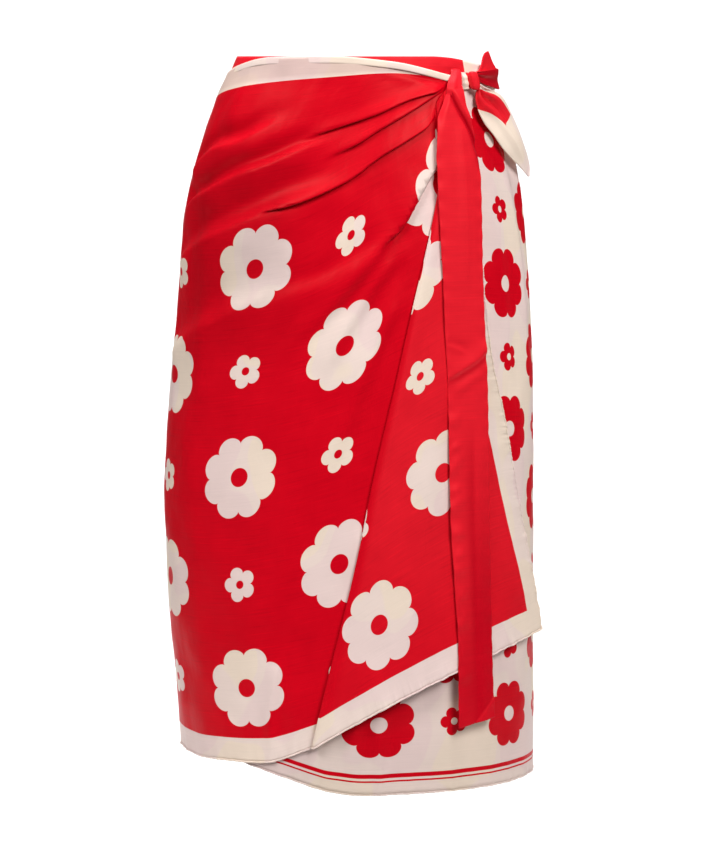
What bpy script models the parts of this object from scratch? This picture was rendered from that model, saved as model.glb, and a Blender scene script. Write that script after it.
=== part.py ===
"""Wrap skirt, filled out as if worn, tied at the right side.

Metres, +Z up. The origin is the middle of the waist opening, the front faces -Y and the tie is at +X.
Angles run round the waist in degrees: 0 at the front, 90 at the right side (+X), 180 at the back.
Heights are millimetres above the top of the waistband, and lift is millimetres out from the body form.
"""

import math

import bmesh
import bpy
import numpy as np

MM = 0.001

# Driving sizes, millimetres and degrees.
WALL = 1.2
SEAM = 0.3
BODY_RADIUS = 150.0
SEAM_ANGLE = math.degrees(SEAM / BODY_RADIUS)
CLOTH_LENGTH = 705.0
BAND_HEIGHT = 22.0
BAND_JOIN = -57.0
BAND_DIP = 12.0
BAND_DIP_ANGLE = 90.0
BAND_DIP_REACH = 58.0
LEFT_SEAM = -98.0
RIGHT_SEAM = 92.0
UNDER_EDGE = -55.0

# The over panel: how far it clears what lies beneath it, and between which angles or heights it steps out.
OVER_LIFT = 3.6
OVER_STEP = (-68.0, -54.0)
BAND_CLEAR = 2.6
BAND_STEP = (-52.0, -26.0)
SEAM_STEP = 4.0
FOLDS_START = -88.0
PLEAT_LAYER = 2.0
TURN = 0.35
HEM_BOW = 24.0
BOW_FROM = 150.0
CORNER_FLARE = 1.0
CORNER_FROM = 500.0
PLEAT_NARROWS_FROM = 560.0

# Columns of the mesh across each piece.
UNDER_ACROSS = 18
BACK_ACROSS = 20
JOIN_ACROSS = 5
MAIN_ACROSS = 31
FLAP_ACROSS = 14
TIE_ACROSS = 5

# Half widths of the body form at each height.
FORM = {
    "height": (-745, -690, -626, -573, -520, -457, -404, -320, -228, -175, -146, -115, -85, -45, -22, 8),
    "left": (185, 190, 195, 199.7, 202.3, 203.9, 202, 195.5, 187, 183.5, 178.5, 171, 163, 148.5, 135.5, 123),
    "right": (180, 180, 179.3, 179, 178.5, 178, 177.5, 176.5, 171.5, 167, 163.5, 159, 151, 139, 132.5, 127),
    "front": (118, 118, 118, 117, 117, 116, 115, 114, 113, 111, 109, 106, 103, 98, 95, 92),
    "back": (118, 118, 120, 121, 122, 124, 126, 127, 128, 127, 124, 120, 114, 104, 97, 92),
}

# Hem of the under panel and the back, by angle.
HEM = {
    "angle": (-55, -41, -26, -16, -9, 2, 16, 92, 150, 205, 262),
    "height": (-703, -711, -722.5, -731.5, -737, -740, -739, -739, -735, -720, -708),
}

# The over panel left of its pleat. Each row is a level of the cloth, by its distance down from the
# top edge, and gives the height at six places from the left seam to the pleat, and the pleat's angle.
OVER_MAIN = {
    "down": (0, 50, 100, 145, 220, 300, 400, 560, 705),
    "seam": (-24.5, -70, -117, -158, -234, -312, -410, -568, -708),
    "fifth": (-10, -61, -112, -155, -232, -311, -410, -568, -708),
    "two_fifths": (-1.4, -53, -104, -151, -229, -307, -408, -570, -711),
    "three_fifths": (-0.4, -43, -90, -139, -219, -297, -400, -567, -711.5),
    "four_fifths": (-5.5, -29, -59, -99, -183, -274, -381, -555.5, -709),
    "pleat": (-19, -24.5, -32, -61, -147, -238.5, -353.5, -539, -690),
    "angle": (40, 40, 37, 29, 26.5, 17.3, 9.2, -3.5, -14.2),
}

# The flap right of the pleat: its folded edge and its free edge at each level, and how far the
# cloth runs on, hidden, under the flap before it turns back.
OVER_FLAP = {
    "down": (0, 50, 100, 150, 243, 346, 413, 490, 580, 705),
    "fold_angle": (40.5, 41, 38, 35.6, 26.6, 16.8, 10.6, 3.8, -2.8, -14.2),
    "fold_height": (-19, -24.5, -30, -36, -140, -247.5, -328, -420, -528, -690),
    "edge_angle": (45, 46, 45, 43, 42.3, 43.2, 45, 51.8, 60.4, 76.5),
    "edge_height": (-19, -24, -29, -34, -122, -219, -286, -363, -453, -586),
    "hidden": (1.2, 1.2, 1.5, 2, 6, 9, 9, 9, 8, 2.6),
}

# The largest folds of the over panel, seen from the front: a line through three points (x, height),
# how far it stands out, and how wide it is above and below the line. A lip is narrow below.
FOLDS = (
    # x1, z1, x2, z2, x3, z3, rise, above, below
    (78, -36, 50, -43, -10, -62, 3.4, 9, 6),
    (76, -66, 42, -84, -48, -130, 4.8, 16, 5),
    (80, -114, 60, -145, 30, -185, 4.4, 16, 6),
    (60, -60, -20, -95, -150, -128, 3.2, 13, 13),
    (30, -48, -85, -62, -160, -94, 3.4, 10, 9),
    (30, -165, -20, -225, -75, -300, 2.8, 16, 16),
)

# Long tie: heights down its length, its two edges' angles and how far it stands out.
TIE = {
    "height": (-35.6, -39, -62, -88, -114, -160, -211, -268, -329, -453, -535, -591, -668),
    "left": (36.5, 35, 28.4, 28, 27.1, 26.6, 26.2, 27, 27.7, 28.5, 30.1, 31.1, 31.1),
    "right": (43.2, 43.6, 44.7, 45.7, 46.2, 44.4, 41.5, 42.1, 43, 43.5, 44, 44.2, 44.8),
    "lift": (13, 13, 14, 14, 13.5, 12.5, 11.5, 11, 11, 11.5, 12.5, 13, 12),
}
TIE_SLANT = 8.0
TIE_SLANT_FROM = -560.0
TIE_RIPPLE = 0.6

# Knots: their middle and half sizes, as angle, height and lift, and how square they are.
TIE_KNOT = {"middle": (41.6, -24, 13.5), "half": (4.4, 11, 4.2)}
BOW_KNOT = {"middle": (52.5, -24, 9), "half": (2.5, 9, 4.6)}
KNOT_FILL = 0.75
KNOT_SQUARE = 3

# The link between the knots: its top and bottom heights where it leaves each knot.
LINK_WALL = 2.4
LINK_LIFT = 5.0
LINK_BULGE = 1.6
LINK_TOP = (-13.0, -15.0)
LINK_BOTTOM = (-34.0, -32.0)

# Bow loop: stations of the tie from the knot, round and back, with its top and bottom heights.
LOOP = (
    # angle, lift, top, bottom
    (55.3, 10.5, -15, -22.5),
    (57.5, 12, -14.6, -25),
    (62, 13.3, -13.8, -28.3),
    (67.5, 14, -12.8, -30.5),
    (72.5, 13.3, -12.3, -32.5),
    (76, 11, -12.6, -33),
    (77.6, 8.6, -11.6, -32),
    (75, 6.8, -4, -30),
    (72, 6.3, 5.2, -28.5),
    (68, 6, 3.5, -27),
    (65, 6, -0.5, -26),
    (61.5, 6, -9.5, -24.5),
    (58.5, 6, -14.5, -23.5),
    (55.3, 6, -16, -22.5),
)

# Bow tail: stations from the knot to the tip, each its upper and its lower edge.
TAIL = (
    # angle, height, lift of the upper edge, then of the lower edge
    (55.7, -27.6, 9, 54.0, -34.3, 8),
    (59, -30.8, 9.5, 52, -44, 7.8),
    (63.5, -32.8, 9.8, 51.4, -54.5, 7.5),
    (69, -36, 10.2, 53, -64.5, 7.5),
    (75, -44, 11, 57, -76.5, 8),
    (81, -56, 11.8, 61, -91, 8.5),
    (85.5, -74, 12.5, 66, -101, 9.3),
    (88.5, -95, 12.5, 72, -109, 10.5),
    (86, -109, 12.4, 76.5, -115.5, 11.2),
    (82, -121, 12, 80.2, -120.4, 11.8),
)

# Levels of the cloth that the panels share, by distance down from their top edge.
LEVELS = (
    0, 18, 36, 55, 75, 95, 118, 142, 165, 190, 220, 255, 295, 340, 390, 440, 490, 545, 600, 655, CLOTH_LENGTH
)

RED = (0.62, 0.01, 0.02, 1)
BRIGHT_RED = (0.8, 0.03, 0.03, 1)
IVORY = (0.82, 0.76, 0.7, 1)


def clear_scene():
    for old in list(bpy.data.objects):
        bpy.data.objects.remove(old, do_unlink=True)


def smooth_value(xs, ys, at):
    """A value between a table's rows, on a smooth curve that never overshoots them."""
    xs = np.asarray(xs, float)
    ys = np.asarray(ys, float)
    steps = np.diff(xs)
    slopes = np.diff(ys) / steps
    tangents = np.concatenate([slopes[:1], np.zeros(len(slopes) - 1), slopes[-1:]])
    for i in range(1, len(slopes)):
        before, after = slopes[i - 1], slopes[i]
        tangents[i] = 2 * before * after / (before + after) if before * after > 0 else 0
    i = int(np.clip(np.searchsorted(xs, at) - 1, 0, len(steps) - 1))
    u = min(max((at - xs[i]) / steps[i], 0), 1)
    return (
        ys[i] * (2 * u**3 - 3 * u**2 + 1)
        + steps[i] * tangents[i] * (u**3 - 2 * u**2 + u)
        + ys[i + 1] * (3 * u**2 - 2 * u**3)
        + steps[i] * tangents[i + 1] * (u**3 - u**2)
    )


def step(low, high, at):
    """0 below low, 1 above high and smooth between."""
    u = min(max((at - low) / (high - low), 0), 1)
    return u * u * (3 - 2 * u)


def place(angle, height, lift):
    """The point of the body form at an angle and height, moved out level by lift."""
    turn = math.radians(angle)
    side, front = math.sin(turn), math.cos(turn)
    wide = smooth_value(FORM["height"], FORM["left" if side < 0 else "right"], height)
    deep = smooth_value(FORM["height"], FORM["front" if front > 0 else "back"], height)
    out_x, out_y = deep * side, -wide * front
    size = math.hypot(out_x, out_y)
    x = wide * side + lift * out_x / size
    y = -deep * front + lift * out_y / size
    return x * MM, y * MM, height * MM


def material(name, colour, roughness=0.45):
    made = bpy.data.materials.new(name)
    made.use_nodes = True
    shader = made.node_tree.nodes["Principled BSDF"]
    shader.inputs["Base Color"].default_value = colour
    shader.inputs["Roughness"].default_value = roughness
    shader.inputs["Metallic"].default_value = 0
    return made


def cloth(name, rows, colour, wall=WALL, even=True):
    """One piece of cloth: a grid of points with a wall, its faces outwards. rows run down the piece."""
    mesh = bpy.data.meshes.new(name)
    grid = bmesh.new()
    across = len(rows[0])
    bmesh.ops.create_grid(grid, x_segments=across - 1, y_segments=len(rows) - 1, size=1)
    grid.verts.ensure_lookup_table()
    for index, vert in enumerate(grid.verts):
        vert.co = rows[index // across][index % across]
    bmesh.ops.reverse_faces(grid, faces=grid.faces[:])
    grid.to_mesh(mesh)
    grid.free()
    mesh.materials.append(material(name + "_cloth", colour))
    piece = bpy.data.objects.new(name, mesh)
    bpy.context.collection.objects.link(piece)
    thick = piece.modifiers.new("Wall", "SOLIDIFY")
    thick.thickness = wall * MM
    thick.offset = 0
    thick.use_even_offset = even
    thick.use_quality_normals = True
    mesh.shade_smooth()
    return piece


def spread(low, high, count):
    """count values from low to high."""
    return [low + (high - low) * i / (count - 1) for i in range(count)]


UNDER_COLUMNS = spread(UNDER_EDGE, RIGHT_SEAM - SEAM_ANGLE, UNDER_ACROSS)
BACK_COLUMNS = spread(RIGHT_SEAM + SEAM_ANGLE, LEFT_SEAM + 360 - SEAM_ANGLE, BACK_ACROSS)

# ---- waistband, under panel and back -------------------------------------------------------


def band_top(angle):
    """The band dips at the side where the bow pulls it down."""
    reach = min(abs(angle - BAND_DIP_ANGLE) / BAND_DIP_REACH, 1)
    return -BAND_DIP * (1 - reach * reach) ** 2


def waistband():
    """The band runs once round from its join, over the panels' own columns."""
    start, end = BAND_JOIN + SEAM_ANGLE, BAND_JOIN + 360 - SEAM_ANGLE
    gap = (end - BACK_COLUMNS[-1]) / JOIN_ACROSS
    angles = [start] + UNDER_COLUMNS + BACK_COLUMNS + spread(BACK_COLUMNS[-1] + gap, end, JOIN_ACROSS)
    rows = []
    for part in (0, 0.5, 1):
        rows.append([place(a, band_top(a) - part * BAND_HEIGHT, 0) for a in angles])
    return cloth("waistband", rows, RED)


def seam_height(down):
    return smooth_value(OVER_MAIN["down"], OVER_MAIN["seam"], down)


def skirt_panel(name, angles, colour):
    """A panel that hangs from the band to the hem on the body form, its levels those of the left seam."""
    rows = []
    for down in LEVELS:
        part = (seam_height(down) - seam_height(0)) / (seam_height(LEVELS[-1]) - seam_height(0))
        row = []
        for angle in angles:
            top = band_top(angle) - BAND_HEIGHT - SEAM
            hem = smooth_value(HEM["angle"], HEM["height"], angle)
            row.append(place(angle, top + part * (hem - top), 0))
        rows.append(row)
    return cloth(name, rows, colour)


# ---- over panel ----------------------------------------------------------------------------


def line_distance(x, z, x1, z1, x2, z2):
    """Distance from a straight piece of a fold, + above it, and how far along it, 0 to 1."""
    along_x, along_z = x2 - x1, z2 - z1
    length = math.hypot(along_x, along_z)
    along = ((x - x1) * along_x + (z - z1) * along_z) / length**2
    held = min(max(along, 0), 1)
    away = math.hypot(x - x1 - held * along_x, z - z1 - held * along_z)
    above = (x - x1) * along_z - (z - z1) * along_x
    return math.copysign(away, above), held


def fold_rise(x, z):
    """How far the folds lift the over panel at a place seen from the front, millimetres."""
    total = 0
    for x1, z1, x2, z2, x3, z3, rise, above, below in FOLDS:
        near, part_a = line_distance(x, z, x1, z1, x2, z2)
        far, part_b = line_distance(x, z, x2, z2, x3, z3)
        away = near if abs(near) <= abs(far) else far
        along = (part_a + part_b) / 2
        width = above if away > 0 else below
        fade = step(0, 0.12, along) * (1 - step(0.55, 1, along))
        total += rise * fade * math.exp(-((away / width) ** 2))
    return total


def over_lift(angle, height):
    """The over panel clears the under panel and the waistband, and lies on the form at the left."""
    over_under = OVER_LIFT * step(*OVER_STEP, angle)
    over_band = BAND_CLEAR * step(LEFT_SEAM, LEFT_SEAM + SEAM_STEP, angle) * step(*BAND_STEP, height)
    return max(over_under, over_band)


def over_main_point(down, part):
    """Angle, height and lift at a level of the main part; part runs 0 to 1 from seam to pleat."""
    places = ("seam", "fifth", "two_fifths", "three_fifths", "four_fifths", "pleat")
    heights = [smooth_value(OVER_MAIN["down"], OVER_MAIN[name], down) for name in places]
    height = smooth_value(spread(0, 1, len(places)), heights, part)
    end = smooth_value(OVER_MAIN["down"], OVER_MAIN["angle"], down)
    angle = LEFT_SEAM + SEAM_ANGLE + part * (end - LEFT_SEAM - SEAM_ANGLE)
    x, y, z = place(angle, height, 0)
    lift = over_lift(angle, height)
    if angle > FOLDS_START:
        lift += fold_rise(x / MM, height)
    return angle, height, lift


def over_row(down):
    """One level of the over panel: the main part, the pleat's two hidden layers and the flap."""
    points = [over_main_point(down, part) for part in spread(0, 1, MAIN_ACROSS)]
    end_angle, end_height, end_lift = points[-1]
    hidden = smooth_value(OVER_FLAP["down"], OVER_FLAP["hidden"], down)
    fold_angle = smooth_value(OVER_FLAP["down"], OVER_FLAP["fold_angle"], down)
    fold_height = smooth_value(OVER_FLAP["down"], OVER_FLAP["fold_height"], down)
    edge_angle = smooth_value(OVER_FLAP["down"], OVER_FLAP["edge_angle"], down)
    edge_height = smooth_value(OVER_FLAP["down"], OVER_FLAP["edge_height"], down)
    bow = HEM_BOW * step(BOW_FROM, CLOTH_LENGTH, down)

    def flap_height(part):
        return fold_height + part * (edge_height - fold_height) + bow * 4 * part * (1 - part)

    turn_angle = end_angle + hidden
    turn_part = max(turn_angle - fold_angle, 0) / (edge_angle - fold_angle)
    turn_drop = 0.5 + 0.55 * step(PLEAT_NARROWS_FROM, CLOTH_LENGTH, down)
    turn_height = end_height + turn_drop * (flap_height(turn_part) - end_height)
    for part in (0.5, 1):
        height = end_height + part * (turn_height - end_height)
        points.append((end_angle + hidden * part, height, end_lift))
    points.append((turn_angle + TURN, turn_height, end_lift + PLEAT_LAYER / 2))
    for part in (0, 0.5, 1):
        angle = turn_angle + part * (fold_angle - turn_angle)
        height = turn_height + part * (fold_height - turn_height)
        points.append((angle, height, end_lift + PLEAT_LAYER))
    top = end_lift + 2 * PLEAT_LAYER
    points.append((fold_angle - TURN, fold_height, end_lift + 1.5 * PLEAT_LAYER))
    flare = CORNER_FLARE * step(CORNER_FROM, CLOTH_LENGTH, down)
    for part in spread(0, 1, FLAP_ACROSS):
        angle = fold_angle + part * (edge_angle - fold_angle)
        points.append((angle, flap_height(part), top + flare * part * part))
    return [place(*point) for point in points]


def over_front():
    return cloth("over_front", [over_row(down) for down in LEVELS], RED, even=False)


# ---- ties ----------------------------------------------------------------------------------


def tie_long():
    rows = []
    for height in TIE["height"]:
        left = smooth_value(TIE["height"][::-1], TIE["left"][::-1], height)
        right = smooth_value(TIE["height"][::-1], TIE["right"][::-1], height)
        lift = smooth_value(TIE["height"][::-1], TIE["lift"][::-1], height)
        slant = TIE_SLANT * step(0, TIE_SLANT_FROM - TIE["height"][-1], TIE_SLANT_FROM - height)
        row = []
        for part in spread(0, 1, TIE_ACROSS):
            ripple = TIE_RIPPLE * math.cos(part * 2 * math.pi)
            row.append(place(left + part * (right - left), height + slant * (part - 0.5), lift + ripple))
        rows.append(row)
    return cloth("tie_long", rows, BRIGHT_RED)


def knot(name, middle, half, colour):
    """A small round bundle of gathered cloth, square enough to fill its place."""
    mesh = bpy.data.meshes.new(name)
    ball = bmesh.new()
    bmesh.ops.create_uvsphere(ball, u_segments=12, v_segments=8, radius=1)
    for vert in ball.verts:
        around, up, out = (math.copysign(abs(c) ** KNOT_FILL, c) for c in (vert.co.x, vert.co.z, vert.co.y))
        size = sum(abs(c) ** KNOT_SQUARE for c in (around, up, out)) ** (1 / KNOT_SQUARE)
        unit = (around / size, up / size, out / size)
        vert.co = place(*(m + h * u for m, h, u in zip(middle, half, unit)))
    if ball.calc_volume(signed=True) < 0:
        bmesh.ops.reverse_faces(ball, faces=ball.faces[:])
    ball.to_mesh(mesh)
    ball.free()
    mesh.materials.append(material(name + "_cloth", colour))
    mesh.shade_smooth()
    piece = bpy.data.objects.new(name, mesh)
    bpy.context.collection.objects.link(piece)
    return piece


def belt_link():
    """The short run of the second tie, from the knot to the bow, narrower where the bow draws it in."""
    first = TIE_KNOT["middle"][0] + TIE_KNOT["half"][0] + SEAM_ANGLE * 2
    last = BOW_KNOT["middle"][0] - BOW_KNOT["half"][0] - SEAM_ANGLE * 2
    rows = []
    for down in spread(0, 1, 5):
        row = []
        lift = LINK_LIFT + LINK_BULGE * math.sin(math.pi * down)
        for part in spread(0, 1, 5):
            top = LINK_TOP[0] + part * (LINK_TOP[1] - LINK_TOP[0])
            bottom = LINK_BOTTOM[0] + part * (LINK_BOTTOM[1] - LINK_BOTTOM[0])
            row.append(place(first + part * (last - first), top + down * (bottom - top), lift))
        rows.append(row)
    return cloth("belt_link", rows, IVORY, LINK_WALL)


def bow_loop():
    stations = []
    for at in spread(0, len(LOOP) - 1, 2 * len(LOOP) - 1):
        stations.append([smooth_value(range(len(LOOP)), column, at) for column in zip(*LOOP)])
    rows = []
    for down in spread(0, 1, 5):
        rows.append([place(a, top + down * (bottom - top), lift) for a, lift, top, bottom in stations])
    return cloth("bow_loop", rows, BRIGHT_RED)


def bow_tail():
    rows = []
    for down in spread(0, 1, 6):
        row = []
        for at in spread(0, len(TAIL) - 1, 2 * len(TAIL) - 1):
            edge = [smooth_value(range(len(TAIL)), column, at) for column in zip(*TAIL)]
            upper, lower = edge[:3], edge[3:]
            row.append(place(*(u + down * (v - u) for u, v in zip(upper, lower))))
        rows.append(row)
    return cloth("bow_tail", rows, IVORY)


def build():
    clear_scene()
    waistband()
    skirt_panel("under_front", UNDER_COLUMNS, RED)
    skirt_panel("back", BACK_COLUMNS, RED)
    over_front()
    tie_long()
    knot("tie_knot", TIE_KNOT["middle"], TIE_KNOT["half"], BRIGHT_RED)
    belt_link()
    knot("bow_knot", BOW_KNOT["middle"], BOW_KNOT["half"], BRIGHT_RED)
    bow_loop()
    bow_tail()


build()
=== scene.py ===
"""Looks of a wrap skirt: printed cloth panels with rolled hems and stitches, waist ties and a bow.

Metres, +Z up. The origin is the middle of the waist opening, -Y is the front and +X the side with the tie.
Cloth is laid out on a chart of the body: an angle round the waist in degrees (0 front, 90 right, 180 back),
a height in millimetres above the top of the waistband, and a lift in millimetres out from the body.
"""

import math

import bmesh
import bpy
import numpy as np
from mathutils import Matrix


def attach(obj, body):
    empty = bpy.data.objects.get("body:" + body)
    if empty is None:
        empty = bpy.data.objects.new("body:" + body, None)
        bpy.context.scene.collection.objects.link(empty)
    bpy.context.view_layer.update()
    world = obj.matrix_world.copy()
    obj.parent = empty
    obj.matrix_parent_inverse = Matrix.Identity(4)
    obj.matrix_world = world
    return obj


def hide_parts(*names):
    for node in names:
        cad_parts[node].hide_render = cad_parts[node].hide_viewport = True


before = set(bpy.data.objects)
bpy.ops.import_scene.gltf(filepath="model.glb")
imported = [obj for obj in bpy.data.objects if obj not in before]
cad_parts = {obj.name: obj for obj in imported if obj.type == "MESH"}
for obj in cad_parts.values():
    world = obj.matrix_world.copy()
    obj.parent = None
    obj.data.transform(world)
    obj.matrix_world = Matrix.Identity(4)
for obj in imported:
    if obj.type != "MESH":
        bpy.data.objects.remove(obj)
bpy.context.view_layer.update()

# ---- studio ----
# A pale floor that curves up into a backdrop, three large soft lights, and a camera level with
# the waist that looks slightly down.

FLOOR_HEIGHT = -1.03
BACKDROP_REACH = (-0.5, 2.6)
BACKDROP_WIDTH = 2.6
BACKDROP_RISE = 4.0
BACKDROP_CURVE = 1.3
BACKDROP_STEPS = 12
CAMERA_PLACE = (-0.0087, -2.9, 0.0)
CAMERA_TILT = 7.41
CAMERA_LENS = 120
# place, size, power in watts, what each faces
LIGHTS = {
    "key_light": ((2.3, -3.7, 2.9), 2.4, 250, (0, 0, -0.35)),
    "left_light": ((-3.0, -2.7, 2.6), 2.0, 128, (0, 0, -0.35)),
    "backdrop_light": ((0, 0.8, 2.6), 3.0, 130, (0, 2.6, -0.6)),
}


def plain_material(name, colour, roughness):
    made = bpy.data.materials.new(name)
    made.use_nodes = True
    shader = made.node_tree.nodes["Principled BSDF"]
    shader.inputs["Base Color"].default_value = colour
    shader.inputs["Roughness"].default_value = roughness
    return made


def put_in_scene(name, data):
    made = bpy.data.objects.new(name, data)
    bpy.context.collection.objects.link(made)
    return made


def shape_object(name, shape, material):
    """The object of a finished bmesh, smooth and in one material."""
    mesh = bpy.data.meshes.new(name)
    shape.to_mesh(mesh)
    shape.free()
    mesh.shade_smooth()
    mesh.materials.append(material)
    return put_in_scene(name, mesh)


def backdrop():
    """A floor strip, its far edge extruded round a quarter turn and up."""
    near, far = BACKDROP_REACH
    steps = [(far, FLOOR_HEIGHT)]
    for turn in range(1, BACKDROP_STEPS + 1):
        a = math.radians(90 * turn / BACKDROP_STEPS)
        y, rise = far + BACKDROP_CURVE * math.sin(a), BACKDROP_CURVE * (1 - math.cos(a))
        steps.append((y, FLOOR_HEIGHT + rise))
    steps.append((far + BACKDROP_CURVE, BACKDROP_RISE))
    sweep = bmesh.new()
    half = BACKDROP_WIDTH / 2
    edge = sweep.edges.new([sweep.verts.new((x, near, FLOOR_HEIGHT)) for x in (-half, half)])
    for y, z in steps:
        made = bmesh.ops.extrude_edge_only(sweep, edges=[edge])["geom"]
        for vert in (v for v in made if isinstance(v, bmesh.types.BMVert)):
            vert.co.y, vert.co.z = y, z
        new_edges = [e for e in made if isinstance(e, bmesh.types.BMEdge)]
        edge = next(e for e in new_edges if e.verts[0].co.x != e.verts[1].co.x)
    bmesh.ops.recalc_face_normals(sweep, faces=sweep.faces[:])
    paper = plain_material("backdrop_paper", (0.93, 0.93, 0.925, 1), 0.85)
    shape_object("backdrop", sweep, paper)


def soft_light(name, place_at, size, power, faces):
    data = bpy.data.lights.new(name, "AREA")
    data.shape = "DISK"
    data.size, data.energy = size, power
    made = put_in_scene(name, data)
    made.location = place_at
    x, y, z = np.subtract(place_at, faces)
    made.rotation_euler = (math.atan2(math.hypot(x, y), z), 0, math.atan2(x, -y))


backdrop()
for light, facts in LIGHTS.items():
    soft_light(light, *facts)

camera = put_in_scene("camera", bpy.data.cameras.new("camera"))
camera.data.lens = CAMERA_LENS
camera.location = CAMERA_PLACE
camera.rotation_euler = (math.radians(90 - CAMERA_TILT), 0, 0)
bpy.context.scene.camera = camera

world = bpy.data.worlds.new("studio_air")
world.use_nodes = True
air = world.node_tree.nodes["Background"]
air.inputs["Color"].default_value = (1, 1, 1, 1)
air.inputs["Strength"].default_value = 0.08
bpy.context.scene.world = world
bpy.context.scene.view_settings.view_transform = "Standard"

# ---- back panel ----
# One width of thin cotton and silk cloth from side seam to side seam, sewn to the waistband at the
# top. It is screen printed with ivory flowers on red, and hangs smooth with soft folds from the hips.

MM = 0.001
# A full turn, in radians.
TURN = 6.283
CLOTH_THICK = 0.6
BAND_HEIGHT = 22.0
BAND_DIP = 12.0
BAND_DIP_ANGLE = 90.0
BAND_DIP_REACH = 58.0
LEFT_SEAM = -98.0
RIGHT_SEAM = 92.0
CLOTH_LENGTH = 705.0
OVER_WIDTH = 550.0
MM_PER_DEGREE = 2.62

# Half widths of the body form at each height, each way from its middle.
FORM_HEIGHTS = (-745, -690, -626, -573, -520, -457, -404, -320, -228, -175, -146, -115, -85, -45, -22, 8)
FORM = {
    "left": (185, 190, 195, 199.7, 202.3, 203.9, 202, 195.5, 187, 183.5, 178.5, 171, 163, 148.5, 135.5, 123),
    "right": (180, 180, 179.3, 179, 178.5, 178, 177.5, 176.5, 171.5, 167, 163.5, 159, 151, 139, 132.5, 127),
    "front": (118, 118, 118, 117, 117, 116, 115, 114, 113, 111, 109, 106, 103, 98, 95, 92),
    "back": (118, 118, 120, 121, 122, 124, 126, 127, 128, 127, 124, 120, 114, 104, 97, 92),
}
HEM = {
    "angle": (-55, -41, -26, -16, -9, 2, 16, 92, 150, 205, 262),
    "height": (-703, -711, -722.5, -731.5, -737, -740, -739, -739, -735, -720, -710),
}
SEAM_LEVELS = {
    "down": (0, 50, 100, 145, 220, 300, 400, 560, 705),
    "height": (-24.5, -70, -117, -158, -234, -312, -410, -568, -708),
}
HEM_RADIUS = 1.05
HEM_STEP = 1.1
HEM_SIDES = 8
STITCH_PITCH = 5.6
STITCH_HALF = (1.3, 0.22, 0.22)
BACK_ROWS, BACK_COLUMNS = 150, 132
BACK_WIDTH = 470.0
# The length of a panel's long and short waves, each with a number that shifts them.
BACK_WAVES = ((90, 3), (41, 8))
SEAM_SINK, SEAM_REACH = 0.7, 1.6
# Folds: the line of each as (angle, height) points from its held end, how far it rises, its width on the
# upper and on the lower side, how far it laps over the cloth below, and how deep the cloth sinks there.
BACK_FOLDS = (
    (((262, -104), (240, -116), (212, -146)), 3.0, 16, 11, 0, 2.4),
    (((262, -142), (236, -164), (206, -208)), 3.4, 18, 13, 0, 3.0),
    (((262, -205), (238, -246), (218, -330)), 2.8, 20, 18, 0, 2.2),
    (((122, -26), (124, -70), (126, -120)), 1.2, 6, 6, 0, 0.5),
    (((150, -26), (150, -74), (149, -128)), 1.2, 6, 6, 0, 0.5),
    (((205, -26), (203, -72), (200, -124)), 1.2, 6, 6, 0, 0.5),
    (((232, -26), (229, -66), (226, -105)), 1.2, 6, 6, 0, 0.5),
    (((104, -140), (128, -168), (152, -180), (178, -176)), 2.4, 18, 15, 0, 2.0),
    (((108, -196), (132, -232), (160, -248)), 2.0, 18, 16, 0, 1.8),
    (((138, -300), (136, -520), (133, -742)), 3.6, 24, 22, 0, 1.6),
    (((176, -260), (177, -500), (180, -738)), 3.4, 28, 22, 0, 1.6),
    (((214, -330), (216, -540), (221, -726)), 3.6, 24, 20, 0, 1.8),
    (((105, -340), (106, -540), (108, -746)), 2.4, 22, 20, 0, 0.9),
)


def smooth_value(xs, ys, at):
    """Values between a table's rows, on a smooth curve without overshoot. ys may hold rows of values."""
    xs, ys = np.asarray(xs, float), np.asarray(ys, float)
    at = np.clip(np.asarray(at, float), xs[0], xs[-1])
    steps = np.diff(xs).reshape((-1,) + (1,) * (ys.ndim - 1))
    slopes = np.diff(ys, axis=0) / steps
    both = slopes[:-1] * slopes[1:]
    total = slopes[:-1] + slopes[1:]
    inner = np.where(both > 0, 2 * both / np.where(total == 0, 1, total), 0)
    tangents = np.concatenate([slopes[:1], inner, slopes[-1:]])
    i = np.clip(np.searchsorted(xs, at) - 1, 0, len(steps) - 1)
    u = ((at - xs[i]) / np.diff(xs)[i]).reshape(at.shape + (1,) * (ys.ndim - 1))
    return (
        ys[i] * (2 * u**3 - 3 * u**2 + 1)
        + steps[i] * tangents[i] * (u**3 - 2 * u**2 + u)
        + ys[i + 1] * (3 * u**2 - 2 * u**3)
        + steps[i] * tangents[i + 1] * (u**3 - u**2)
    )


def smooth_step(low, high, at):
    """0 below low, 1 above high and smooth between."""
    u = np.clip((np.asarray(at, float) - low) / (high - low), 0, 1)
    return u * u * (3 - 2 * u)


def hump(distance, reach):
    """1 at no distance, fading away on both sides."""
    return np.exp(-((distance / reach) ** 2))


def place(angle, height, lift):
    """Points of the body form at angles and heights, moved out level by lift."""
    angle, height, lift = np.broadcast_arrays(angle, height, lift)
    turn = np.radians(angle)
    side, front = np.sin(turn), np.cos(turn)
    half = {way: smooth_value(FORM_HEIGHTS, sizes, height) for way, sizes in FORM.items()}
    wide = np.where(side < 0, half["left"], half["right"])
    deep = np.where(front > 0, half["front"], half["back"])
    out_x, out_y = deep * side, -wide * front
    size = np.hypot(out_x, out_y)
    x = wide * side + lift * out_x / size
    y = -deep * front + lift * out_y / size
    return np.stack([x, y, height], axis=-1) * MM


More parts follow.
